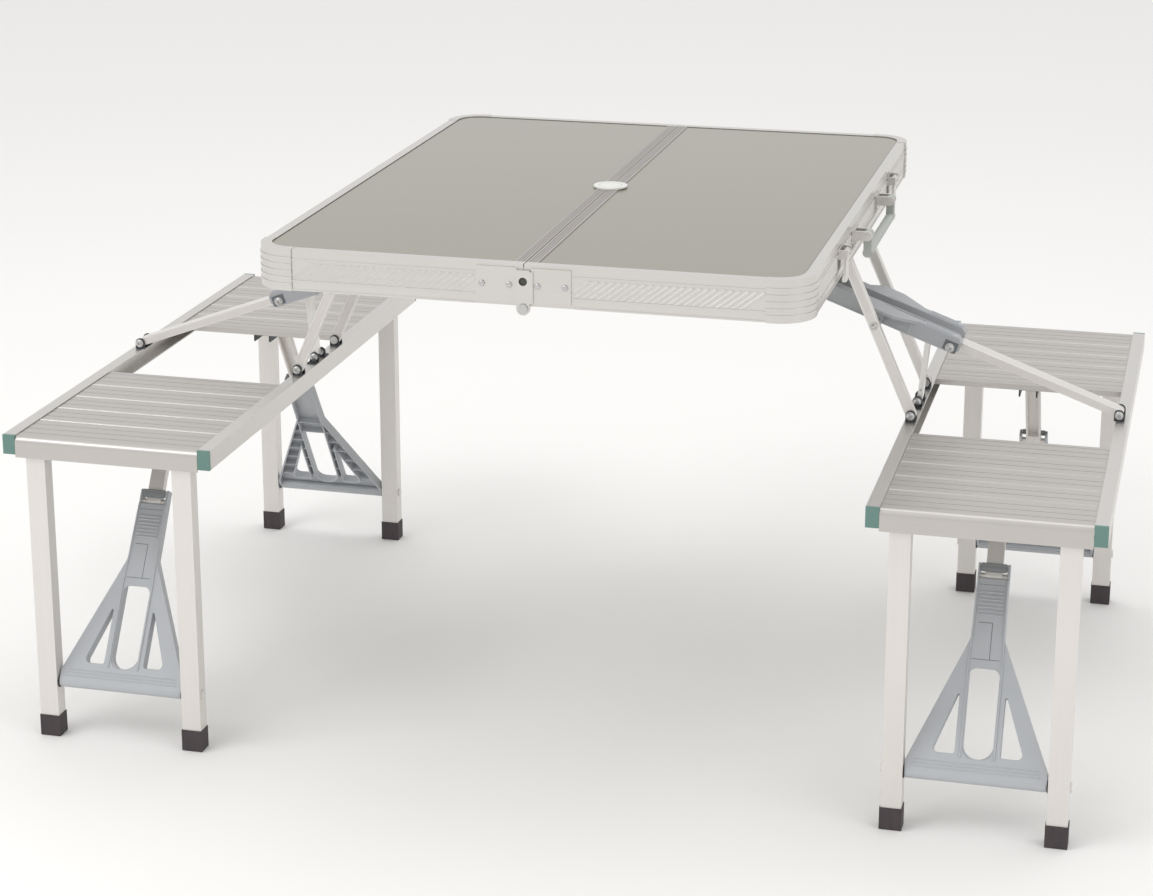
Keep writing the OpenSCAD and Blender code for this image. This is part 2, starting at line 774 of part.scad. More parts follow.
module stay(s, e) {
  color(plastic) on_side(s) at_end(e) on_stay() difference() {
    translate([0, 0, -stay_t / 2]) linear_extrude(stay_t) difference() {
      stay_outline(0);
      stay_windows();
    }
    translate([0, 0, -stay_t / 2 - 1]) linear_extrude(stay_t - 1.2) difference() {
      intersection() {
        stay_outline(3);
        translate([-stay_half, 13]) square([2 * stay_half, 0.68 * stay_b - 13]);
      }
      stay_ribs();
    }
    box([-strap_w - gap - 0.5, slot_hi - 1, -stay_t], [strap_w + gap + 0.5, stay_b + stay_end + 1, strap_t + 0.5]);
    pin_x([stay_b, 0], bolt_r + fit, -neck_w - 1, neck_w + 1);
  }
}

// Material left standing around the windows and as cross ribs in the back of the stay
module stay_ribs() {
  translate([0, slot_lo + slot_w]) circle(slot_w + 3);
  translate([-slot_w - 3, slot_lo + slot_w]) square([2 * slot_w + 6, slot_hi - slot_lo - slot_w + 3]);
  for (m = [0, 1])
    mirror([m, 0]) polygon([[slot_w + 4, 11], [stay_half - 5, 11], [slot_w + 4, 0.45 * stay_b]]);
  for (i = [0:5])
    translate([-stay_half, 30 + 26 * i]) square([2 * stay_half, 2]);
}

// Strut between the stay and its bracket, with the knee pin of the stay
module stay_strut(s, e) {
  color(silver) on_side(s) at_end(e) on_stay() {
    difference() {
      plate_x(-strap_w, strap_w) capsule([stay_b, 0], [stay_b + stay_s, 0], strap_t);
      box([-strap_w + 3, stay_b + 14, -strap_t - 1], [strap_w - 3, stay_b + stay_s - 14, strap_t - 2]);
      pin_x([stay_b + stay_s, 0], bolt_r + fit, -strap_w - 1, strap_w + 1);
      pin_x([stay_b, 0], bolt_r + fit, -strap_w - 1, strap_w + 1);
    }
    pin_x([stay_b, 0], bolt_r, -neck_w, neck_w);
  }
}

// ---- drawing ----

rim(-1);  // left_rim
corners(-1);  // left_corners
seam_profile(-1);  // left_seam_profile
board(-1);  // left_board
hinge_plates(-1);  // left_hinge_plates
arm_mounts(-1);  // left_arm_mounts
rim(1);  // right_rim
corners(1);  // right_corners
seam_profile(1);  // right_seam_profile
board(1);  // right_board
hinge_plates(1);  // right_hinge_plates
arm_mounts(1);  // right_arm_mounts
hinge_pins();
handle_grip();
handle_latch_mounts();
latch_levers();
latch_keepers();
umbrella_plug();
rails(-1);  // left_rails
slats(-1);  // left_slats
seat_edges(-1);  // left_seat_edges
end_caps(-1);  // left_end_caps
brackets(-1);  // left_brackets
bracket_bolts(-1);  // left_bracket_bolts
leg_axles(-1);  // left_leg_axles
arms(-1);  // left_arms
yoke_pins(-1);  // left_yoke_pins
yoke(-1);  // left_yoke
knee_bolts(-1);  // left_knee_bolts
strut(-1);  // left_strut
prop(-1);  // left_prop
rails(1);  // right_rails
slats(1);  // right_slats
seat_edges(1);  // right_seat_edges
end_caps(1);  // right_end_caps
brackets(1);  // right_brackets
bracket_bolts(1);  // right_bracket_bolts
leg_axles(1);  // right_leg_axles
arms(1);  // right_arms
yoke_pins(1);  // right_yoke_pins
yoke(1);  // right_yoke
knee_bolts(1);  // right_knee_bolts
strut(1);  // right_strut
prop(1);  // right_prop
legs(-1, -1);  // left_front_legs
feet(-1, -1);  // left_front_feet
stay(-1, -1);  // left_front_stay
stay_strut(-1, -1);  // left_front_stay_strut
legs(-1, 1);  // left_back_legs
feet(-1, 1);  // left_back_feet
stay(-1, 1);  // left_back_stay
stay_strut(-1, 1);  // left_back_stay_strut
legs(1, -1);  // right_front_legs
feet(1, -1);  // right_front_feet
stay(1, -1);  // right_front_stay
stay_strut(1, -1);  // right_front_stay_strut
legs(1, 1);  // right_back_legs
feet(1, 1);  // right_back_feet
stay(1, 1);  // right_back_stay
stay_strut(1, 1);  // right_back_stay_strut
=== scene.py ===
"""Looks of a folding aluminium picnic table with four attached seats.

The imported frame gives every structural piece. This file adds the finishes, the embossed bands, screws,
rivets, beads, the moulded plastic stays and yokes, the grip, and the studio.
"""
import json
import math

import bpy
import bmesh
from mathutils import Matrix, Vector


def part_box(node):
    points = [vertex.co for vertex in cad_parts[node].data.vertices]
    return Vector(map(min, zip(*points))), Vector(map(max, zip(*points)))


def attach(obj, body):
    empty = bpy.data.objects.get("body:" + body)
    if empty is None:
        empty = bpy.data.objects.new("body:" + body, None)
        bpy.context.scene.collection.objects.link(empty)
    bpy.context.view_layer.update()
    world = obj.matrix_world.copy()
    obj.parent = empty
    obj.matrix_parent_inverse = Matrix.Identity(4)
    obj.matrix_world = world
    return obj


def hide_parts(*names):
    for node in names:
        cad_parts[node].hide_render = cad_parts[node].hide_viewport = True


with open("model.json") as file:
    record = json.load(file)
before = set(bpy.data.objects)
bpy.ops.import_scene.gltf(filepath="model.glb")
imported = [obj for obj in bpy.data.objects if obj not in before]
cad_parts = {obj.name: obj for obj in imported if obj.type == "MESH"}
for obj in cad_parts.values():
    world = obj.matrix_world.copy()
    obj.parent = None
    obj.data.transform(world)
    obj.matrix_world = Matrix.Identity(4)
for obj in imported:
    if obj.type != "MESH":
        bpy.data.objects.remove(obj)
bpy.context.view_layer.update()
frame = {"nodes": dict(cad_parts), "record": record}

bl_info = {
    "name": "Picnic table looks",
    "version": (1, 0, 0),
    "blender": (4, 5, 0),
    "location": "View3D > Sidebar > Picnic table",
    "description": "Finishes and fine pieces of a folding picnic table",
    "category": "Object",
}

SIDES = {"left": -1, "right": 1}
ENDS = ("front", "back")
NODES = frame["nodes"]
JOINTS = {joint["name"]: joint for joint in frame["record"]["behaviour"]["joints"]}
MM = 0.001
RIM_SKIN = 0.8 * MM  # the rim's flat face lies this far behind its beads
SHARP = math.radians(35)
ALONG_X = (0.0, math.pi / 2, 0.0)
ALONG_Y = (math.pi / 2, 0.0, 0.0)


def pivot(joint):
    """Where a joint turns, in metres."""
    return Vector(JOINTS[joint]["pos_m"])


def linear(hex_colour):
    """A hex colour as linear red, green and blue."""
    parts = [int(hex_colour[i:i + 2], 16) / 255 for i in (1, 3, 5)]
    return tuple(c / 12.92 if c <= 0.04045 else ((c + 0.055) / 1.055) ** 2.4 for c in parts)


# ---- graphs: one wrapper for shader and geometry trees ----

class Wire:
    """A socket that can be used in sums, products and quotients."""

    def __init__(self, graph, socket):
        self.graph = graph
        self.socket = socket

    def _math(self, operation, first, second):
        node = self.graph.node("ShaderNodeMath", {"operation": operation}, {0: first, 1: second})
        return self.graph.wire(node)

    def __add__(self, other):
        return self._math("ADD", self, other)

    def __radd__(self, other):
        return self._math("ADD", other, self)

    def __mul__(self, other):
        return self._math("MULTIPLY", self, other)

    def __rmul__(self, other):
        return self._math("MULTIPLY", other, self)

    def __truediv__(self, other):
        return self._math("DIVIDE", self, other)

    def __rtruediv__(self, other):
        return self._math("DIVIDE", other, self)

    def power(self, other):
        return self._math("POWER", self, other)

    def above(self, edge):
        return self._math("GREATER_THAN", self, edge)


class Graph:
    """A node tree with one method that adds any node."""

    def __init__(self, tree):
        self.tree = tree

    def node(self, kind, settings=None, inputs=None):
        node = self.tree.nodes.new(kind)
        for name, value in (settings or {}).items():
            if name == "stops":
                self._ramp(node, value)
            else:
                setattr(node, name, value)
        for key, value in (inputs or {}).items():
            if isinstance(value, Wire):
                self.tree.links.new(value.socket, node.inputs[key])
            else:
                node.inputs[key].default_value = value
        return node

    def _ramp(self, node, stops):
        elements = node.color_ramp.elements
        while len(elements) < len(stops):
            elements.new(0.5)
        for element, (place, colour) in zip(elements, stops):
            element.position = place
            element.color = (*colour, 1)

    def wire(self, node, output=0):
        return Wire(self, node.outputs[output])

    def link(self, wire, node, key):
        self.tree.links.new(wire.socket, node.inputs[key])


class Finish(Graph):
    """A procedural material around one Principled shader."""

    def __init__(self, name, colour, roughness, metallic=0.0, coat=0.0):
        self.material = bpy.data.materials.new(name)
        self.material.use_nodes = True
        super().__init__(self.material.node_tree)
        self.tree.nodes.clear()
        self.shader = self.node("ShaderNodeBsdfPrincipled", None, {
            "Base Color": (*colour, 1), "Roughness": roughness, "Metallic": metallic,
            "Coat Weight": coat, "Coat Roughness": 0.06})
        out = self.node("ShaderNodeOutputMaterial")
        self.link(self.wire(self.shader), out, "Surface")
        self.colour = tuple(colour)
        self.place = self.wire(self.node("ShaderNodeTexCoord"), "Object")

    def noise(self, scale, stretch=(1, 1, 1), detail=3.0):
        spot = self.node("ShaderNodeMapping", None, {"Vector": self.place, "Scale": stretch})
        return self.wire(self.node("ShaderNodeTexNoise", None, {
            "Vector": self.wire(spot), "Scale": scale, "Detail": detail}))

    def tint(self, amount, low, high):
        """Colour between low and high times the base colour."""
        mix = self.node("ShaderNodeMix", {"data_type": "RGBA"}, {
            "Factor": amount, 6: (*[c * low for c in self.colour], 1),
            7: (*[min(c * high, 1) for c in self.colour], 1)})
        self.link(self.wire(mix, 2), self.shader, "Base Color")

    def rough(self, amount, low, high):
        self.link(amount * (high - low) + low, self.shader, "Roughness")

    def bump(self, height, strength, distance):
        node = self.node("ShaderNodeBump", None, {
            "Height": height, "Strength": strength, "Distance": distance})
        self.link(self.wire(node), self.shader, "Normal")


def brushed(name, colour, along, roughness, metallic=0.85):
    """Drawn aluminium with fine lines along one axis and faint clouding."""
    finish = Finish(name, colour, roughness, metallic)
    stretch = [260.0, 260.0, 260.0]
    stretch["XYZ".index(along)] = 3.0
    lines = finish.noise(1.0, stretch, 2.0)
    clouds = finish.noise(14.0)
    finish.tint(lines * 0.5 + clouds * 0.5, 0.93, 1.05)
    finish.rough(lines * 0.6 + clouds * 0.4, roughness - 0.07, roughness + 0.09)
    finish.bump(lines, 0.12, 0.0003)
    return finish.material


def laminate(name, colour):
    """Glossy board face with a fine metallic grain under the lacquer."""
    finish = Finish(name, colour, 0.16, 0.0, 0.15)
    grain = finish.noise(1.0, (30, 420, 30), 2.0)
    weave = finish.noise(900.0)
    clouds = finish.noise(5.0)
    finish.tint(grain * 0.35 + weave * 0.25 + clouds * 0.4, 0.9, 1.08)
    finish.rough(weave * 0.5 + clouds * 0.5, 0.13, 0.22)
    finish.bump(clouds, 0.04, 0.002)
    return finish.material


def moulded(name, colour, roughness=0.46):
    """Moulded plastic with a fine spark-eroded grain and slight flow marks."""
    finish = Finish(name, colour, roughness)
    grain = finish.noise(1400.0, detail=2.0)
    flow = finish.noise(9.0, (1, 1, 2.5), 4.0)
    finish.tint(flow * 0.8 + grain * 0.2, 0.9, 1.08)
    finish.rough(grain * 0.6 + flow * 0.4, roughness - 0.09, roughness + 0.09)
    finish.bump(grain, 0.1, 0.0002)
    return finish.material


def zinc(name, colour, roughness):
    """Plated steel with crystal mottling and dull edges."""
    finish = Finish(name, colour, roughness, 0.9)
    spots = finish.noise(220.0, detail=4.0)
    clouds = finish.noise(40.0)
    finish.tint(spots * 0.5 + clouds * 0.5, 0.8, 1.12)
    finish.rough(spots, roughness - 0.08, roughness + 0.12)
    finish.bump(spots, 0.08, 0.0002)
    return finish.material


def rubber(name, colour):
    """Dark rubber, scuffed towards the floor, with a woven grain."""
    finish = Finish(name, colour, 0.7)
    grain = finish.noise(700.0)
    scuffs = finish.noise(1.0, (120, 120, 26), 5.0)
    finish.tint(scuffs.power(1.6), 0.8, 1.9)
    finish.rough(scuffs, 0.55, 0.85)
    finish.bump(grain * 0.6 + scuffs * 0.4, 0.25, 0.0004)
    return finish.material


def pale_floor(name, colour):
    """Matt floor paint with the faintest clouding."""
    finish = Finish(name, colour, 0.85)
    finish.tint(finish.noise(2.0), 0.995, 1.0)
    return finish.material


# Colour of each finish, the function that makes it, and what that is told besides.
LOOKS = {
    "rim_aluminium": ("#d6d3cf", brushed, ("X", 0.30)),
    "seam_aluminium": ("#b3aeaa", brushed, ("Y", 0.36)),
    # Bright aluminium of the prop; on the beads of the arms and braces this colour is a painted highlight.
    "edge_aluminium": ("#f1efec", brushed, ("Z", 0.3, 0.5)),
    "slat_aluminium": ("#c6c2be", brushed, ("X", 0.40)),
    "frame_aluminium": ("#d6d3cf", brushed, ("Y", 0.34)),
    "leg_aluminium": ("#e2deda", brushed, ("Z", 0.46, 0.6)),
    "board_laminate": ("#807c6c", laminate, ()),
    "yoke_plastic": ("#a9abae", moulded, ()),
    "stay_plastic": ("#b4b7bb", moulded, ()),
    "latch_plastic": ("#8e9294", moulded, (0.5,)),
    "shadow_plastic": ("#6a6e72", moulded, (0.6,)),
    "cap_plastic": ("#65877f", moulded, (0.4,)),
    "grip_plastic": ("#a9ada8", moulded, (0.42,)),
    "plug_plastic": ("#dcdcd8", moulded, (0.4,)),
    "bracket_steel": ("#4c4f52", zinc, (0.42,)),
    "bolt_zinc": ("#c9c9c8", zinc, (0.28,)),
    "foot_rubber": ("#3d3638", rubber, ()),
    # Dark colour of the bedding line; the peg holes of the hinges use the same colour as painted shade.
    "gasket_rubber": ("#4a4a46", moulded, (0.6,)),
    "floor_paint": ("#f7f6f4", pale_floor, ()),
}


# ---- settings ----

def colour_setting(name, hex_colour, description):
    return bpy.props.FloatVectorProperty(
        name=name, description=description, subtype="COLOR", size=3, min=0, max=1,
        default=linear(hex_colour))


def length_setting(name, metres, description):
    return bpy.props.FloatProperty(
        name=name, description=description, default=metres, min=0, unit="LENGTH")


class BandSettings(bpy.types.PropertyGroup):
    """Embossed stripes round the rim."""
    pitch: length_setting("Pitch", 9.2 * MM, "Distance from stripe to stripe")
    width: length_setting("Width", 5.4 * MM, "Width of a stripe")
    height: length_setting("Height", 21 * MM, "Height of the embossed band")
    relief: length_setting("Relief", 0.95 * MM, "How far a stripe stands out")
    lean: bpy.props.FloatProperty(
        name="Lean", description="Lean of a stripe from upright", default=math.radians(52),
        subtype="ANGLE")


class FastenerSettings(bpy.types.PropertyGroup):
    """Screw heads and rivets."""
    rivet_radius: length_setting("Rivet radius", 3.6 * MM, "Radius of a domed rivet head")
    rivet_height: length_setting("Rivet height", 1.5 * MM, "Height of a rivet head")
    screw_radius: length_setting("Screw radius", 4.8 * MM, "Radius of a pan head")
    screw_height: length_setting("Screw height", 2.0 * MM, "Height of a pan head")


class SeatSettings(bpy.types.PropertyGroup):
    """Fine pieces of the seats."""
    slats: bpy.props.IntProperty(
        name="Slats", description="Slats in one seat", default=5, min=1)
    bead: length_setting("Bead radius", 0.55 * MM, "Radius of the bead along a slat's edge")


class PlasticSettings(bpy.types.PropertyGroup):
    """Moulded pieces of the legs and the linkage."""
    wall: length_setting("Wall", 2.4 * MM, "Wall of the moulded stays")
    edge: length_setting("Edge", 0.9 * MM, "Rounding along the edges of moulded pieces")
    ribs: bpy.props.IntProperty(
        name="Grip ribs", description="Ribs of the thumb latch on a stay", default=7, min=1)


class FinishSettings(bpy.types.PropertyGroup):
    """Colours of the finishes."""
    __annotations__ = {
        name: colour_setting(name.replace("_", " ").capitalize(), look[0], "Colour of this finish")
        for name, look in LOOKS.items()}


class StudioSettings(bpy.types.PropertyGroup):
    """Light and camera."""
    sky: bpy.props.FloatProperty(
        name="Sky", description="Strength of the even light all round", default=0.86, min=0)
    lens: bpy.props.FloatProperty(
        name="Lens", description="Focal length in millimetres", default=82.6, min=10)


# ---- making pieces ----

def new_piece(name, mesh, body, material):
    """An object at the origin that rides on a body."""
    piece = bpy.data.objects.new(name, mesh)
    bpy.context.scene.collection.objects.link(piece)
    mesh.materials.clear()
    mesh.materials.append(material)
    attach(piece, body)
    return piece


def baked(obj):
    """The evaluated mesh of an object, after which the object is gone."""
    bpy.context.view_layer.update()
    graph = bpy.context.evaluated_depsgraph_get()
    mesh = bpy.data.meshes.new_from_object(obj.evaluated_get(graph))
    bpy.data.objects.remove(obj, do_unlink=True)
    return mesh


def grown(name, tree, values, points=()):
    """Runs a geometry tree on an object of loose points and returns the mesh."""
    mesh = bpy.data.meshes.new(name + "_points")
    mesh.from_pydata([tuple(p) for p in points], [], [])
    obj = bpy.data.objects.new(name + "_points", mesh)
    bpy.context.scene.collection.objects.link(obj)
    modifier = obj.modifiers.new("grow", "NODES")
    modifier.node_group = tree
    for item in tree.interface.items_tree:
        if item.item_type == "SOCKET" and item.in_out == "INPUT" and item.name in values:
            modifier[item.identifier] = values[item.name]
    return baked(obj)


def mesh_of(work, name):
    """A new mesh from a bmesh, which is freed."""
    mesh = bpy.data.meshes.new(name)
    work.to_mesh(mesh)
    work.free()
    return mesh


def joined(meshes):
    """Several meshes as one."""
    work = bmesh.new()
    for mesh in meshes:
        work.from_mesh(mesh)
    return mesh_of(work, "joined")


class Growth(Graph):
    """A geometry tree with named inputs that ends in Realize Instances and Set Material."""

    def __init__(self, name, inputs):
        tree = bpy.data.node_groups.new(name, "GeometryNodeTree")
        super().__init__(tree)
        tree.interface.new_socket("Geometry", in_out="INPUT", socket_type="NodeSocketGeometry")
        for label, kind, default in inputs:
            socket = tree.interface.new_socket(label, in_out="INPUT", socket_type="NodeSocket" + kind)
            if default is not None:
                socket.default_value = default
        tree.interface.new_socket("Geometry", in_out="OUTPUT", socket_type="NodeSocketGeometry")
        self.entry = self.node("NodeGroupInput")

    def given(self, label):
        return self.wire(self.entry, label)

    def end(self, geometry):
        real = self.node("GeometryNodeRealizeInstances", None, {0: geometry})
        paint = self.node("GeometryNodeSetMaterial", None, {
            "Geometry": self.wire(real), "Material": self.given("Material")})
        out = self.node("NodeGroupOutput")
        self.link(self.wire(paint), out, 0)
        return self.tree


def stripe_tree():
    """A row of leaning, flattened rods between two points, for the embossed band."""
    g = Growth("embossed_stripes", [
        ("Start", "Vector", None), ("End", "Vector", None), ("Count", "Int", 10),
        ("Width", "Float", 0.005), ("Height", "Float", 0.02), ("Relief", "Float", 0.001),
        ("Slope", "Float", 1.0), ("Turn", "Float", 0.0), ("Material", "Material", None)])
    row = g.node("GeometryNodeMeshLine", {"mode": "END_POINTS"}, {
        "Count": g.given("Count"), "Start Location": g.given("Start"), "Offset": g.given("End")})
    rod = g.node("GeometryNodeMeshCylinder", None, {
        "Vertices": 12, "Side Segments": 4, "Radius": g.given("Width") * 0.5,
        "Depth": g.given("Height")})
    flat = g.node("ShaderNodeCombineXYZ", None, {
        0: 1.0, 1: g.given("Relief") * 2 / g.given("Width"), 2: 1.0})
    flattened = g.node("GeometryNodeTransform", None, {
        "Geometry": g.wire(rod), "Scale": g.wire(flat)})
    spot = g.node("ShaderNodeSeparateXYZ", None, {0: g.wire(g.node("GeometryNodeInputPosition"))})
    slide = g.node("ShaderNodeCombineXYZ", None, {0: g.wire(spot, 2) * g.given("Slope")})
    leaning = g.node("GeometryNodeSetPosition", None, {
        "Geometry": g.wire(flattened), "Offset": g.wire(slide)})
    turn = g.node("ShaderNodeCombineXYZ", None, {2: g.given("Turn")})
    copies = g.node("GeometryNodeInstanceOnPoints", None, {
        "Points": g.wire(row), "Instance": g.wire(leaning), "Rotation": g.wire(turn)})
    return g.end(g.wire(copies))


def head_tree():
    """Domed heads on points, with a crossed recess where Cross is above zero."""
    g = Growth("fastener_heads", [
        ("Radius", "Float", 0.004), ("Rise", "Float", 0.002), ("Cross", "Float", 0.0),
        ("Turn", "Vector", None), ("Material", "Material", None)])
    ball = g.node("GeometryNodeMeshUVSphere", None, {
        "Segments": 20, "Rings": 10, "Radius": g.given("Radius")})
    squash = g.node("ShaderNodeCombineXYZ", None, {
        0: 1.0, 1: 1.0, 2: g.given("Rise") / g.given("Radius")})
    dome = g.node("GeometryNodeTransform", None, {
        "Geometry": g.wire(ball), "Scale": g.wire(squash)})
    bars = []
    for across in (0, 1):
        length, thin = g.given("Cross") * 2.0, g.given("Cross") * 0.5
        size = g.node("ShaderNodeCombineXYZ", None, {
            across: length, 1 - across: thin, 2: g.given("Rise") * 4})
        bars.append(g.wire(g.node("GeometryNodeMeshCube", None, {"Size": g.wire(size)})))
    cut = g.node("GeometryNodeMeshBoolean", {"operation": "DIFFERENCE"}, {0: g.wire(dome)})
    for bar in bars:
        g.tree.links.new(bar.socket, cut.inputs[1])
    pick = g.node("GeometryNodeSwitch", {"input_type": "GEOMETRY"}, {
        "Switch": g.given("Cross").above(0.0001), "False": g.wire(dome), "True": g.wire(cut)})
    copies = g.node("GeometryNodeInstanceOnPoints", None, {
        "Points": g.given("Geometry"), "Instance": g.wire(pick), "Rotation": g.given("Turn")})
    return g.end(g.wire(copies))


def rod_tree():
    """Straight rods along X of one length on points, such as beads and ribs."""
    g = Growth("rods", [
        ("Radius", "Float", 0.001), ("Length", "Float", 0.1), ("Turn", "Vector", None),
        ("Material", "Material", None)])
    rod = g.node("GeometryNodeMeshCylinder", None, {
        "Vertices": 12, "Radius": g.given("Radius"), "Depth": g.given("Length")})
    copies = g.node("GeometryNodeInstanceOnPoints", None, {
        "Points": g.given("Geometry"), "Instance": g.wire(rod), "Rotation": g.given("Turn")})
    return g.end(g.wire(copies))


def plate_mesh(outlines, thickness, edge, place):
    """A flat plate with rounded edges. Outlines are lists of points, the holes after the rim."""
    curve = bpy.data.curves.new("plate", "CURVE")
    curve.dimensions = "2D"
    curve.fill_mode = "BOTH"
    curve.extrude = max(thickness / 2 - edge, 0)
    curve.bevel_depth = edge
    curve.bevel_resolution = 2
    curve.offset = -edge
    for outline in outlines:
        spline = curve.splines.new("POLY")
        spline.points.add(len(outline) - 1)
        for point, (x, y) in zip(spline.points, outline):
            point.co = (x, y, 0, 1)
        spline.use_cyclic_u = True
    obj = bpy.data.objects.new("plate", curve)
    bpy.context.scene.collection.objects.link(obj)
    mesh = baked(obj)
    mesh.transform(place)
    return mesh


def rounded(corners, radius, steps=5):
    """A closed outline with its corners rounded by a radius, or by one radius each."""
    out = []
    count = len(corners)
    radii = radius if isinstance(radius, (list, tuple)) else [radius] * count
    for i, corner in enumerate(corners):
        here = Vector(corner)
        to_last = (Vector(corners[i - 1]) - here).normalized()
        to_next = (Vector(corners[(i + 1) % count]) - here).normalized()
        half = to_last.angle(to_next) / 2
        reach = radii[i] / math.tan(half)
        centre = here + (to_last + to_next).normalized() * (radii[i] / math.sin(half))
        first, last = here + to_last * reach - centre, here + to_next * reach - centre
        sweep = math.atan2(first.x * last.y - first.y * last.x, first.dot(last))
        for k in range(steps + 1):
            turn = Matrix.Rotation(sweep * k / steps, 2)
            out.append(tuple(centre + turn @ first))
    return out


def prism(low, high, edge):
    """A box between two corners with bevelled edges."""
    work = bmesh.new()
    bmesh.ops.create_cube(work, size=1)
    size = Vector(high) - Vector(low)
    middle = (Vector(high) + Vector(low)) / 2
    place = Matrix.Translation(middle) @ Matrix.Diagonal((*size, 1))
    bmesh.ops.transform(work, verts=work.verts, matrix=place)
    bmesh.ops.bevel(work, geom=work.edges[:], offset=edge, segments=2, affect="EDGES")
    return mesh_of(work, "prism")


def smoothed(mesh):
    """Smooth shading, but for the sharp edges."""
    mesh.shade_smooth()
    mesh.set_sharp_from_angle(angle=SHARP)
    return mesh


def facing_out(mesh):
    """Turns every face outwards."""
    work = bmesh.new()
    work.from_mesh(mesh)
    bmesh.ops.recalc_face_normals(work, faces=work.faces)
    work.to_mesh(mesh)
    work.free()


def upwards(along):
    """The direction square to another in the plane of X and Z, on its upper side."""
    return Vector((-along.z, 0, along.x)) * (1 if along.x > 0 else -1)


def spans(outlines, y):
    """The stretches of the line at y that lie inside a shape with holes."""
    cuts = []
    for outline in outlines:
        for (x0, y0), (x1, y1) in zip(outline, outline[1:] + outline[:1]):
            if (y0 > y) != (y1 > y):
                cuts.append(x0 + (y - y0) * (x1 - x0) / (y1 - y0))
    cuts.sort()
    return list(zip(cuts[::2], cuts[1::2]))


def mirrored(points):
    """An outline with left and right exchanged, still in the same sense."""
    return [(-x, y) for x, y in reversed(points)]


def tube(start, end, radius, sides=16):
    """A straight rod with rounded ends between two points."""
    axis = Vector(end) - Vector(start)
    turn = axis.to_track_quat("Z", "Y").to_matrix().to_4x4()
    round_off = min(radius * 0.3, axis.length * 0.3)
    stops = [(0, radius - round_off), (round_off * 0.3, radius - round_off * 0.3),
             (round_off, radius)]
    stops += [(axis.length - z, r) for z, r in reversed(stops)]
    work = bmesh.new()
    rings = [[work.verts.new((r * math.cos(a), r * math.sin(a), z))
              for a in (2 * math.pi * k / sides for k in range(sides))] for z, r in stops]
    for one, two in zip(rings, rings[1:]):
        for k in range(sides):
            n = (k + 1) % sides
            work.faces.new((one[k], one[n], two[n], two[k]))
    work.faces.new(rings[0][::-1])
    work.faces.new(rings[-1])
    mesh = mesh_of(work, "tube")
    mesh.transform(Matrix.Translation(start) @ turn)
    return mesh


def swept(path, section):
    """A rod of any section along a path, with its ends filled. The section is in side and up."""
    work = bmesh.new()
    rings = []
    for before, here, after in zip(path[:1] + path, path, path[1:] + path[-1:]):
        ahead = (Vector(after) - Vector(before)).normalized()
        side = ahead.cross(Vector((0, 0, 1))).normalized()
        rings.append([work.verts.new(Vector(here) + side * a + Vector((0, 0, b))) for a, b in section])
    for one, two in zip(rings, rings[1:]):
        for k in range(len(section)):
            n = (k + 1) % len(section)
            work.faces.new((one[k], one[n], two[n], two[k]))
    work.faces.new(rings[0][::-1])
    work.faces.new(rings[-1])
    bmesh.ops.recalc_face_normals(work, faces=work.faces)
    return mesh_of(work, "swept")


# ---- finishes ----

MADE = {}
NODE_FINISHES = (
    ("board", "board_laminate"), ("seam", "seam_aluminium"), ("slats", "slat_aluminium"),
    ("seat_edges", "slat_aluminium"), ("feet", "foot_rubber"), ("stay_strut", "leg_aluminium"),
    ("stay", "stay_plastic"), ("yoke_pins", "bolt_zinc"), ("yoke", "yoke_plastic"),
    ("end_caps", "cap_plastic"), ("handle_grip", "grip_plastic"), ("plug", "plug_plastic"),
    ("bolts", "bolt_zinc"), ("axles", "bolt_zinc"), ("hinge_pins", "bolt_zinc"),
    ("brackets", "bracket_steel"), ("handle_latch", "rim_aluminium"), ("mounts", "bracket_steel"),
    ("keepers", "bracket_steel"), ("legs", "leg_aluminium"), ("rails", "frame_aluminium"),
    ("prop", "edge_aluminium"), ("arms", "leg_aluminium"), ("strut", "leg_aluminium"))


def finish(name):
    """One of the finishes, made the first time that it is asked for."""
    if name not in MADE:
        maker, values = LOOKS[name][1:]
        MADE[name] = maker(name, getattr(bpy.context.scene.picnic_finishes, name), *values)
    return MADE[name]


def finish_of_node(node):
    """The finish that a structural piece has: the first rule whose word is in its name."""
    for word, name in NODE_FINISHES:
        if word in node:
            return name
    return "rim_aluminium"


# ---- operators ----

class PICNIC_OT_finish_structure(bpy.types.Operator):
    """Gives every structural piece its finish"""
    bl_idname = "picnic.finish_structure"
    bl_label = "Finish the structure"

    def execute(self, context):
        for name, obj in NODES.items():
            material = finish(finish_of_node(name))
            if not obj.material_slots:
                obj.data.materials.append(material)
            for slot in obj.material_slots:
                slot.material = material
        return {"FINISHED"}


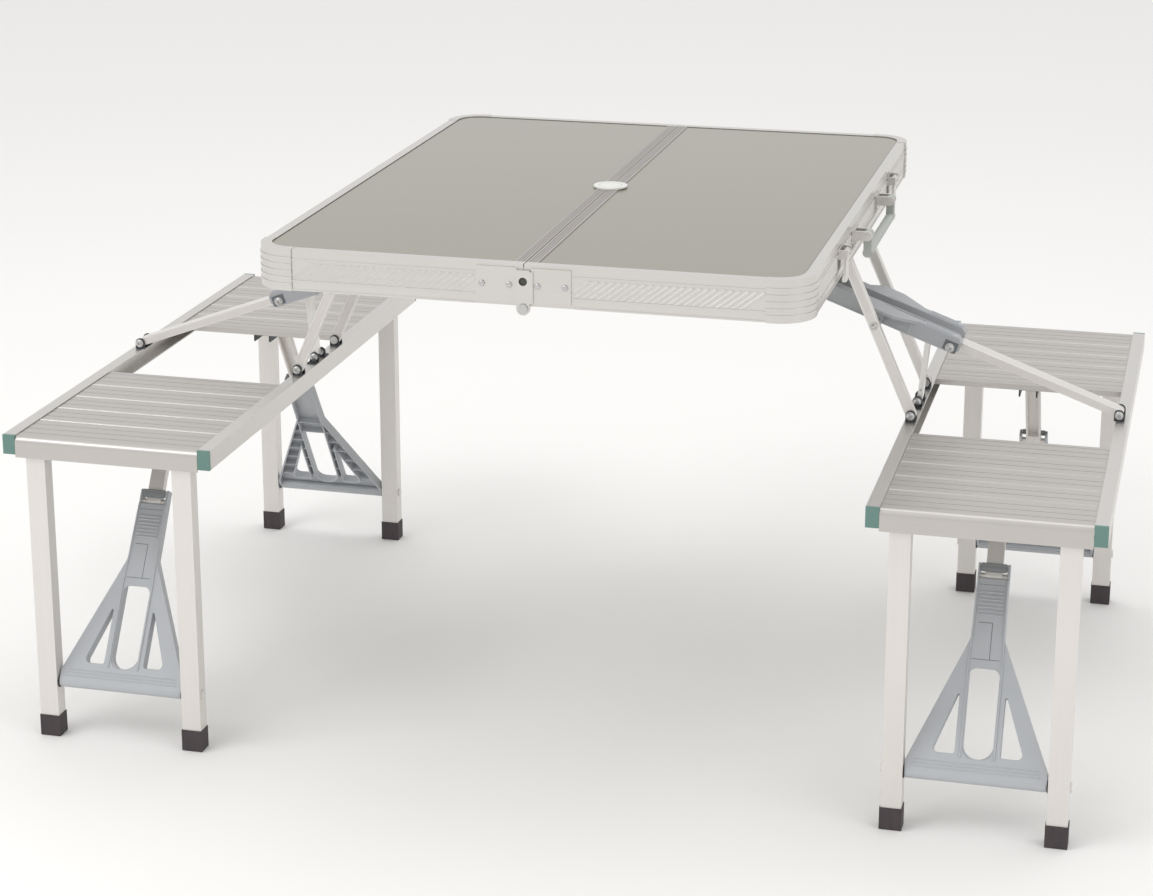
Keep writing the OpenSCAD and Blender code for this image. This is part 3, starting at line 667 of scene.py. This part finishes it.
class PICNIC_OT_emboss_rims(bpy.types.Operator):
    """Embossed stripes between the beads of the rim"""
    bl_idname = "picnic.emboss_rims"
    bl_label = "Emboss the rims"

    above_edge = 24 * MM  # middle of the band above the rim's lower edge
    from_seam, from_corner, from_side = 66 * MM, 64 * MM, 68 * MM

    def execute(self, context):
        band = context.scene.picnic_band
        tree = stripe_tree()
        for side, s in SIDES.items():
            low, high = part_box(side + "_rim")
            middle = low.z + self.above_edge
            front, outer = low.y + RIM_SKIN, (high.x if s > 0 else low.x) - s * RIM_SKIN
            first, last = self.from_seam, abs(outer) - self.from_corner
            edge = abs(front) - self.from_side
            runs = [((s * first, front), (s * last, front), 0.0),
                    ((s * first, -front), (s * last, -front), 0.0),
                    ((outer, -edge), (outer, edge), math.pi / 2)]
            parts = []
            for start, end, turn in runs:
                length = (Vector(end) - Vector(start)).length
                parts.append(grown(side, tree, {
                    "Start": (*start, middle), "End": (*end, middle),
                    "Count": int(length / band.pitch) + 1, "Width": band.width,
                    "Height": band.height, "Relief": band.relief,
                    "Slope": math.tan(band.lean) * (-1 if start[1] == -front else 1),
                    "Turn": turn, "Material": finish("rim_aluminium")}))
            new_piece(side + "_embossed_band", joined(parts), side + "_half",
                      finish("rim_aluminium"))
        return {"FINISHED"}


class PICNIC_OT_gaskets(bpy.types.Operator):
    """Dark bedding line between the lip and the board"""
    bl_idname = "picnic.gaskets"
    bl_label = "Bed the boards"

    lip, from_seam, corner = 12 * MM, 15 * MM, 30 * MM
    below_lip, half_width, rise = 1.0 * MM, 0.9 * MM, 0.35 * MM
    corner_steps = 8
    cut_ends = 6  # points left out at each end, where the outline turns along the seam

    def execute(self, context):
        section = [(-self.half_width, 0), (self.half_width, 0),
                   (self.half_width, self.rise), (-self.half_width, self.rise)]
        for side, s in SIDES.items():
            low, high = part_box(side + "_rim")
            in_x, out_x = self.from_seam, abs(high.x if s > 0 else low.x) - RIM_SKIN - self.lip
            out_y = high.y - RIM_SKIN - self.lip
            corners = [(s * in_x, -out_y), (s * out_x, -out_y), (s * out_x, out_y), (s * in_x, out_y)]
            outline = rounded(corners, [MM, self.corner, self.corner, MM], self.corner_steps)
            path = [(x, y, high.z - self.below_lip) for x, y in outline][self.cut_ends:-self.cut_ends]
            new_piece(side + "_bedding_line", swept(path, section), side + "_half",
                      finish("gasket_rubber"))
        return {"FINISHED"}


class PICNIC_OT_fasteners(bpy.types.Operator):
    """Domed rivets and crossed screw heads on every hinge and bracket"""
    bl_idname = "picnic.fasteners"
    bl_label = "Fit rivets and screws"

    plate = 3.2 * MM            # face of the hinge plates before the rim's skin
    rivet_rows = (17 * MM, 50 * MM)
    bolt_head = 4.3 * MM        # bolt heads stand this far before the arms and the prop
    stud_drop = 1.5 * MM

    def heads(self, name, points, body, screw):
        sizes = bpy.context.scene.picnic_fasteners
        radius = sizes.screw_radius if screw else sizes.rivet_radius
        rise = sizes.screw_height if screw else sizes.rivet_height
        mesh = grown(name, self.tree, {
            "Radius": radius, "Rise": rise, "Cross": radius * 0.5 if screw else 0.0,
            "Turn": ALONG_Y, "Material": finish("bolt_zinc")}, points)
        for face in mesh.polygons:
            face.use_smooth = not screw
        new_piece(name, mesh, body, finish("bolt_zinc"))

    def execute(self, context):
        self.tree = head_tree()
        for side, s in SIDES.items():
            low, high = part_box(side + "_rim")
            face = high.y - RIM_SKIN + self.plate
            points = [(s * x, e * face, (low.z + high.z) / 2) for x in self.rivet_rows for e in (-1, 1)]
            self.heads(side + "_hinge_rivets", points, side + "_half", False)
            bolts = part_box(side + "_arms")[1].y + self.bolt_head
            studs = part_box(side + "_prop")[1].y + self.bolt_head
            arm_low, strut_end = pivot(side + "_frame_level"), pivot(side + "_strut_turn")
            points = [(arm_low.x, y, arm_low.z) for y in (-bolts, bolts)]
            points += [(strut_end.x, e * studs, strut_end.z) for e in (-1, 1)]
            points += [(arm_low.x, e * studs, arm_low.z - self.stud_drop) for e in (-1, 1)]
            self.heads(side + "_bracket_screws", points, side + "_seat_frame", True)
            rod = pivot(side + "_yoke_turn")
            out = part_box(side + "_yoke_pins")[1].y
            self.heads(side + "_arm_rivets", [(rod.x, e * out, rod.z) for e in (-1, 1)],
                       side + "_arm_pair", False)
            low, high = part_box(side + "_knee_bolts")
            knee = (low + high) / 2
            self.heads(side + "_knee_screws", [(knee.x, e * high.y, knee.z) for e in (-1, 1)],
                       side + "_yoke_lever", True)
        return {"FINISHED"}


class PICNIC_OT_slat_beads(bpy.types.Operator):
    """Fine beads along the edges of the slats"""
    bl_idname = "picnic.slat_beads"
    bl_label = "Bead the slats"

    seat_start = 130.8 * MM     # inner edge of a seat's first slat
    slat_gap = 0.8 * MM
    sunk = 0.15 * MM
    ends = 18 * MM              # both ends of a bead together lie this far inside the rails

    def execute(self, context):
        sizes = context.scene.picnic_seats
        tree = rod_tree()
        for side in SIDES:
            low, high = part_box(side + "_slats")
            pitch = (high.y - self.seat_start + self.slat_gap) / sizes.slats
            points = []
            for e in (-1, 1):
                for i in range(1, sizes.slats):
                    gap = self.seat_start + i * pitch - self.slat_gap / 2
                    points += [((low.x + high.x) / 2, e * (gap + shift), high.z - self.sunk)
                               for shift in (-MM, MM)]
            mesh = grown(side, tree, {
                "Radius": sizes.bead, "Length": high.x - low.x - self.ends, "Turn": ALONG_X,
                "Material": finish("rim_aluminium")}, points)
            new_piece(side + "_slat_beads", mesh, side + "_seat_frame",
                      finish("rim_aluminium"))
        return {"FINISHED"}


class PICNIC_OT_stays(bpy.types.Operator):
    """Moulded leg stays: a skin with walls and ribs behind, a thumb grip and a cap at the knee"""
    bl_idname = "picnic.stays"
    bl_label = "Mould the stays"

    # Heights from the foot axle and depths, in millimetres.
    deep, skin, proud = 7.0, 1.6, 0.12
    foot, base, slot_low, window_low = -2, 12, 20, 24
    knee_end, slot_round = 15, 13
    window_in, window_out = 8, 29
    first_rib, rib_pitch, rib_half, grip_pitch = 32, 21, 0.9, 4.6
    # Heights as shares of the stay's length.
    waist_at, cup_at, slot_at, window_at = 0.68, 0.66, 0.53, 0.42
    latch_top, latch_foot, grip_at = 0.76, 0.575, 0.8

    def place(self, name):
        """Where a stay lies: X across, Y from its foot to its knee, Z outwards, in millimetres."""
        knee, top = pivot(name + "_stay_turn"), pivot(name + "_bar_turn")
        axle = pivot(name + "_leg_fold")
        along = (top - knee).normalized()
        foot = knee + along * ((axle.y - knee.y) / along.y)
        across = Vector((math.copysign(1, -axle.y), 0, 0))
        turn = Matrix((across, along, across.cross(along))).transposed().to_4x4()
        return Matrix.Translation(foot) @ turn @ Matrix.Scale(MM, 4), (knee - foot).length / MM

    def outlines(self, half, neck, long):
        """Rim, middle slot and the two side windows."""
        waist, waist_y, slot_y = neck + 1, self.waist_at * long, self.slot_at * long
        rim = rounded([(-half, self.foot), (half, self.foot), (half, self.base), (waist, waist_y),
                       (neck, long - 4), (-neck, long - 4), (-waist, waist_y), (-half, self.base)],
                      [1, 1, 5, 40, 3, 3, 40, 5])
        slot = rounded([(neck - 1, self.slot_low), (neck - 1, slot_y), (1 - neck, slot_y),
                        (1 - neck, self.slot_low)], [self.slot_round, 9, 9, self.slot_round], 8)
        window = rounded([(neck + self.window_in, self.window_low),
                          (half - self.window_out, self.window_low),
                          (neck + self.window_in, self.window_at * long)], [3, 6, 1.2])
        return rim, slot, window, mirrored(window)

    def walls(self, half, neck, long, window, wall):
        """The walls behind the skin: round the edge, beside the slot and round the windows."""
        waist, waist_y, end = neck + 1, self.waist_at * long, long + self.knee_end
        side = [(half, 0), (half, self.base), (waist, waist_y), (neck, end)]
        inside = [(neck - wall, end), (waist - wall, waist_y), (half - wall - 1, self.base + 1),
                  (half - wall - 1, 2)]
        edge = side + inside + [(-x, y) for x, y in reversed(side + inside)]
        cup_y, middle = self.cup_at * long, self.slot_low + neck - 1
        turn = [math.radians(a) for a in range(0, -181, -15)]
        cup = ([(neck + 1, cup_y), (neck - 1, cup_y)]
               + [((neck - 1) * math.cos(a), middle + (neck - 1) * math.sin(a)) for a in turn]
               + [(1 - neck, cup_y), (-neck - 1, cup_y)]
               + [((neck + 1) * math.cos(a), middle + (neck + 1) * math.sin(a)) for a in reversed(turn)])
        grown_window = rounded([(neck + self.window_in - 2, self.window_low - 2),
                                (half - self.window_out + 4, self.window_low - 2),
                                (neck + self.window_in - 2, (self.window_at + 0.03) * long)], [3, 7, 1.2])
        back, height = Matrix.Translation((0, 0, -self.skin / 2)), 2 * self.deep - 2
        shapes = ([edge], [cup], [grown_window, window], [mirrored(grown_window), mirrored(window)])
        return [plate_mesh(shape, height, 0.4, back) for shape in shapes]

    def ribs(self, outlines, long):
        """Cross ribs behind the skin, wherever it is wide enough."""
        out = []
        for y in range(self.first_rib, int(self.cup_at * long), self.rib_pitch):
            for x0, x1 in spans(outlines, y):
                if x1 - x0 > 5:
                    out.append(prism((x0 + 1, y - self.rib_half, 1.5 - self.deep),
                                     (x1 - 1, y + self.rib_half, self.deep - 1.5), 0.3))
        return out

    def rails(self, neck, long, edge):
        """The raised rails beside the slot, and the two cheeks that hold the knee."""
        out = []
        for m in (-1, 1):
            rail = [(m * (neck + 1.2), self.slot_low, self.deep),
                    (m * (neck + 1.2), 0.55 * long, self.deep),
                    (m * (neck - 0.2), 0.7 * long, self.deep), (m * (neck - 1.4), long - 5, self.deep)]
            out.append(swept(rail, [(-1.5, -0.6), (1.5, -0.6), (0.8, 1.5), (-0.8, 1.5)]))
            out.append(prism((min(m * (neck - 3), m * neck), long - 7, -self.deep),
                             (max(m * (neck - 3), m * neck), long + self.knee_end, self.deep), edge))
        return out

    def skin_lines(self, half):
        """Three fine beads across the foot."""
        return [tube((6 - half + y / 3, y, self.deep - 0.1), (half - 6 - y / 3, y, self.deep - 0.1), 0.8, 8)
                for y in (5, 9, 13)]

    def grip(self, name, tree, neck, long, count):
        """The ribs under the thumb."""
        points = [Vector((0, self.grip_at * long + self.grip_pitch * k, self.deep)) for k in range(count)]
        return grown(name, tree, {
            "Radius": 1.3, "Length": 2 * neck - 9, "Turn": ALONG_X,
            "Material": finish("stay_plastic")}, points)

    def slits(self, neck, long):
        """Dark lines round the thumb latch."""
        top, foot, line = self.latch_top * long, self.latch_foot * long, 0.4
        low, high = self.deep - 0.3, self.deep + self.proud
        return [prism((6 - neck, top - line, low), (4, top + line, high), 0.1),
                prism((4 - line, foot, low), (4 + line, top, high), 0.1),
                prism((2 - neck, foot - line, low), (neck - 3, foot + line, high), 0.1),
                prism((3 - neck, long - 12, low), (neck - 3, long - 11.4, high), 0.1)]

    def add(self, name, part, meshes, place, look, slot="yoke_plastic", smooth=True):
        """Puts one part of a stay in its place."""
        mesh = joined(meshes)
        mesh.transform(place)
        return new_piece(name + part, smoothed(mesh) if smooth else mesh, name + "_stay_link",
                         finish(look))

    def stay(self, name, plastic, tree):
        place, long = self.place(name)
        low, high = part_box(name + "_stay")
        half = (high.x - low.x) / 2 / MM
        low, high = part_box(name + "_stay_strut")
        neck = (high.x - low.x) / 2 / MM + 2
        deep, edge = self.deep, plastic.edge / MM
        outlines = self.outlines(half, neck, long)
        front = Matrix.Translation((0, 0, deep - (self.skin + edge) / 2))
        body = [plate_mesh(outlines, self.skin + edge, edge, front)]
        body += self.walls(half, neck, long, outlines[2], plastic.wall / MM)
        body += self.ribs(outlines, long)
        body.append(tube((-half, self.foot, 0), (half, self.foot, 0), deep, 28))
        body += self.rails(neck, long, edge) + self.skin_lines(half)
        body.append(self.grip(name, tree, neck, long, plastic.ribs))
        piece = self.add(name, "_moulded_stay", body, place, "stay_plastic")
        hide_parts(name + "_stay")
        cap = [prism((3 - neck, long + 4, 5.7), (neck - 3, long + self.knee_end, deep + 0.6), edge),
               prism((3 - neck, long + 9, 5.7), (neck - 3, long + 10, deep + 1.1), 0.3)]
        self.add(name, "_knee_cap", cap, place, "latch_plastic")
        self.add(name, "_stay_slits", self.slits(neck, long), place, "shadow_plastic", smooth=False)
        washers = [tube((m * half, self.foot, 0), (m * (half + 0.7), self.foot, 0), 8.2, 24)
                   for m in (-1, 1)]
        self.add(name, "_stay_washers", washers, place, "foot_rubber", "foot_rubber")

    def execute(self, context):
        tree = rod_tree()
        for side in SIDES:
            for end in ENDS:
                self.stay(side + "_" + end, context.scene.picnic_plastic, tree)
        return {"FINISHED"}


class PICNIC_OT_linkage(bpy.types.Operator):
    """Edge beads of the arms and braces, painted brighter as highlights, and the flanges, slits and bolt
    seats of the yokes
    """
    bl_idname = "picnic.linkage"
    bl_label = "Detail the linkage"

    arm_edge, arm_wide, arm_bead = 5.6 * MM, 10 * MM, 0.7 * MM
    brace_edge, brace_side, brace_bead = 4.4 * MM, 11.2 * MM, 0.85 * MM

    def arm_beads(self, side):
        """Bright edges of the arms: painted highlights on thin beads."""
        low, top = pivot(side + "_frame_level"), pivot(side + "_stow")
        along = (top - low).normalized()
        across = Vector((along.z, 0, -along.x)) * self.arm_edge
        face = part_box(side + "_arms")[1].y
        first, last = low + along * 12 * MM, top - along * 30 * MM
        beads = []
        for y in (face, face - self.arm_wide):
            for e in (-1, 1):
                for m in (-1, 1):
                    shift = across * m + Vector((0, e * y - low.y, 0))
                    beads.append(tube(first + shift, last + shift, self.arm_bead, 8))
        new_piece(side + "_arm_beads", smoothed(joined(beads)), side + "_arm_pair",
                  finish("edge_aluminium"))

    def brace_beads(self, side):
        """Bright edges of the brace's channel: painted highlights on thin beads."""
        low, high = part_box(side + "_knee_bolts")
        knee, end = (low + high) / 2, pivot(side + "_strut_turn")
        along = (end - knee).normalized()
        first, last = knee + along * 14 * MM, end - along * 6 * MM
        beads = []
        for y in (-self.brace_side, self.brace_side):
            for m in (-1, 1):
                shift = upwards(along) * (self.brace_edge * m) + Vector((0, y, 0))
                beads.append(tube(first + shift, last + shift, self.brace_bead, 8))
        new_piece(side + "_brace_beads", smoothed(joined(beads)), side + "_brace_strut",
                  finish("edge_aluminium"))

    def block(self, m, low, high, edge):
        """A bevelled box beside the middle plane, on the side that m gives."""
        return prism((low[0], min(m * low[1], m * high[1]), low[2]),
                     (high[0], max(m * low[1], m * high[1]), high[2]), edge)

    def yoke(self, side):
        """Details in the frame of the brace: X from the pins to the knee, Z upwards, millimetres."""
        low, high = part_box(side + "_knee_bolts")
        rod, knee = pivot(side + "_yoke_turn"), (low + high) / 2
        along = (knee - rod).normalized()
        long = (knee - rod).length / MM
        turn = Matrix((along, Vector((0, 1, 0)), upwards(along))).transposed().to_4x4()
        place = Matrix.Translation(Vector((rod.x, 0, rod.z))) @ turn @ Matrix.Scale(MM, 4)
        # Low corner, high corner and bevel of each block, on both sides of the middle plane.
        details = {
            # The flanges and ribs take the lighter stay plastic: painted light on the yoke's raised top
            # faces and ribs.
            "flanges": ("stay_plastic", (
                ((10, 15, 13), (long + 5, 18.4, 15.9), 0.6),
                ((56, 21.2, 13), (long + 5, 34.2, 15.9), 0.7))),
            "ribs": ("stay_plastic", (
                ((40, 33, -5.5), (43, 35.4, 13.5), 0.6),
                ((-86, 33.4, -6.5), (long + 2, 34.8, -4.5), 0.5))),
            "slits": ("shadow_plastic", (
                ((58, 26.6, 15.5), (long - 2, 27.6, 16.05), 0.1),
                ((58, 31, 15.5), (long - 2, 31.7, 16.05), 0.1),
                ((long - 9, 33.6, -5.8), (long + 9, 34.5, 8.5), 0.3)))}
        for name, (look, blocks) in details.items():
            mesh = joined([self.block(m, *block) for m in (-1, 1) for block in blocks])
            mesh.transform(place)
            facing_out(mesh)
            new_piece(side + "_yoke_" + name, mesh, side + "_yoke_lever", finish(look))

    def execute(self, context):
        for side in SIDES:
            self.arm_beads(side)
            self.brace_beads(side)
            self.yoke(side)
        return {"FINISHED"}


class PICNIC_OT_hinges(bpy.types.Operator):
    """Painted shade in the peg holes of the fold straps: a dark disc sits inside each hole"""
    bl_idname = "picnic.hinges"
    bl_label = "Detail the hinges"

    above_edge, radius = 30 * MM, 4.9 * MM
    root, tip = 3 * MM, 1 * MM  # depths of the shade disc's ends behind the plate's outer face

    def execute(self, context):
        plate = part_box("left_hinge_plates")[1].y
        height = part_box("left_rim")[0].z + self.above_edge
        hole_shades = [tube((0, e * (plate - self.root), height), (0, e * (plate - self.tip), height),
                     self.radius, 20) for e in (-1, 1)]
        # Painted shade: dark discs stand inside the holes, where there is only shade.
        new_piece("peg_holes", smoothed(joined(hole_shades)), "left_half",
                  finish("gasket_rubber"))
        return {"FINISHED"}


class PICNIC_OT_studio(bpy.types.Operator):
    """Pale floor, soft light and the camera"""
    bl_idname = "picnic.studio"
    bl_label = "Set up the studio"

    # Name, place, size and power of each lamp.
    lamps = (("key", (-2.2, -2.4, 3.4), (2.2, 1.6), 42), ("fill", (3.4, -1.6, 2.2), (2.0, 2.0), 12),
             ("top", (0.2, 0.6, 3.6), (3.0, 2.0), 20))
    lit_spot = Vector((0, 0, 0.35))
    floor_half, floor_drop = 30, 0.5 * MM
    camera_place = (0.797, -3.283, 1.426)
    look_down, look_left = math.radians(15.78), math.radians(14.4)

    def light(self, name, place, size, power):
        data = bpy.data.lights.new(name, "AREA")
        data.shape = "RECTANGLE"
        data.size, data.size_y = size
        data.energy = power
        lamp = bpy.data.objects.new(name, data)
        lamp.location = place
        lamp.rotation_euler = (self.lit_spot - Vector(place)).to_track_quat("-Z", "Y").to_euler()
        bpy.context.scene.collection.objects.link(lamp)

    def floor(self):
        work = bmesh.new()
        bmesh.ops.create_grid(work, x_segments=1, y_segments=1, size=self.floor_half)
        mesh = mesh_of(work, "floor")
        mesh.materials.append(finish("floor_paint"))
        floor = bpy.data.objects.new("floor", mesh)
        floor.location.z = -self.floor_drop
        bpy.context.scene.collection.objects.link(floor)

    def camera(self, lens):
        camera = bpy.data.objects.new("camera", bpy.data.cameras.new("camera"))
        camera.data.lens = lens
        camera.data.sensor_width = 36
        camera.data.shift_y = -0.1
        camera.data.clip_end = 100
        camera.location = self.camera_place
        camera.rotation_euler = (math.pi / 2 - self.look_down, 0, self.look_left)
        bpy.context.scene.collection.objects.link(camera)
        return camera

    def execute(self, context):
        scene = context.scene
        self.floor()
        world = bpy.data.worlds.new("studio")
        world.use_nodes = True
        back = world.node_tree.nodes["Background"]
        back.inputs["Color"].default_value = (1, 1, 1, 1)
        back.inputs["Strength"].default_value = scene.picnic_studio.sky
        scene.world = world
        for lamp in self.lamps:
            self.light(*lamp)
        scene.camera = self.camera(scene.picnic_studio.lens)
        scene.view_settings.view_transform = "Standard"
        return {"FINISHED"}


class PICNIC_PT_panel(bpy.types.Panel):
    """Lists the steps in the sidebar"""
    bl_idname = "PICNIC_PT_panel"
    bl_label = "Picnic table"
    bl_space_type = "VIEW_3D"
    bl_region_type = "UI"
    bl_category = "Picnic table"

    def draw(self, context):
        for step in STEPS:
            self.layout.operator(step.bl_idname)


STEPS = (
    PICNIC_OT_finish_structure, PICNIC_OT_emboss_rims, PICNIC_OT_gaskets, PICNIC_OT_fasteners,
    PICNIC_OT_slat_beads, PICNIC_OT_stays, PICNIC_OT_linkage, PICNIC_OT_hinges,
    PICNIC_OT_studio)
GROUPS = {
    "picnic_finishes": FinishSettings, "picnic_band": BandSettings, "picnic_fasteners": FastenerSettings,
    "picnic_seats": SeatSettings, "picnic_plastic": PlasticSettings,
    "picnic_studio": StudioSettings}


def register():
    for kind in (*GROUPS.values(), *STEPS, PICNIC_PT_panel):
        bpy.utils.register_class(kind)
    for name, kind in GROUPS.items():
        setattr(bpy.types.Scene, name, bpy.props.PointerProperty(type=kind))


def unregister():
    for name in GROUPS:
        delattr(bpy.types.Scene, name)
    for kind in (PICNIC_PT_panel, *reversed(STEPS), *reversed(GROUPS.values())):
        bpy.utils.unregister_class(kind)


def main():
    register()
    for step in STEPS:
        group, name = step.bl_idname.split(".")
        getattr(getattr(bpy.ops, group), name)()


if __name__ == "__main__":
    main()
